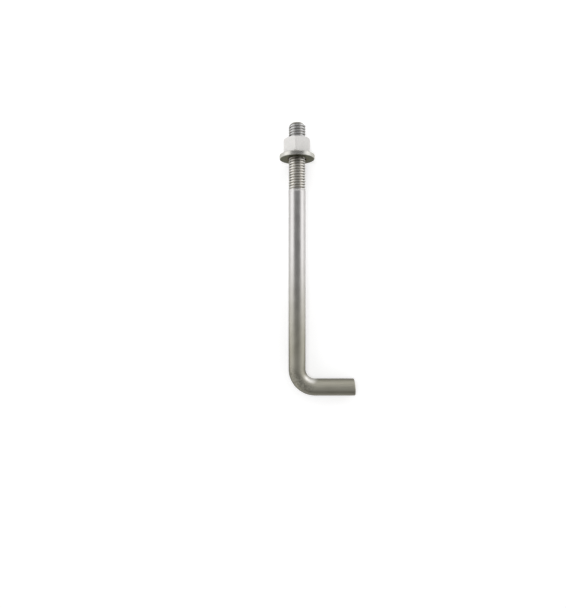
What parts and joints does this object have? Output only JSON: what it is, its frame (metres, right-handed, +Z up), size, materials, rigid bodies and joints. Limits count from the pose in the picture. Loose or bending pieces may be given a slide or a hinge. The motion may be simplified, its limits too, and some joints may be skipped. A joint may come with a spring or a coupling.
{
  "type": "l anchor bolt",
  "caption": "Galvanised round-bar anchor bolt, bent to a right-angle hook at its foot, with a threaded end that carries a flat washer and a hexagon nut running on the thread.",
  "frame": {"origin": "on the surface the bolt lies on, in the middle of its outline seen from above", "axes": "+Y along the shank towards the threaded tip, +X along the leg of the hook, +Z up from the surface; the shank rises 2.26 degrees towards the tip because the washer's rim props it up"},
  "size_m": [0.0568, 0.2032, 0.0263],
  "materials": {
    "rod": "hot-dip galvanised, satin grey with a faint olive cast and fine mottling",
    "washer": "hot-dip galvanised, dull grey faces and a brighter rim",
    "nut": "galvanised, pale and frosty"
  },
  "bodies": {
    "rod": {"anchor_rod": "rod"},
    "washer": {"flat_washer": "washer"},
    "nut": {"hex_nut": "nut"}
  },
  "joints": [
    {"name": "washer_travel", "type": "slide", "parent": "rod", "child": "washer", "axis": [0, 0.9992, 0.0395], "range_m": [-0.02345, 0.02345]},
    {"name": "nut_turn", "type": "hinge", "parent": "washer", "child": "nut", "pos_m": [-0.01528, 0.08395, 0.01343], "axis": [0, 0.9992, 0.0395], "range_deg": [-4320, 4320]}
  ],
  "couplings": [
    {"joint": "washer_travel", "follows": "nut_turn", "m_per_rad": 0.00031096}
  ]
}
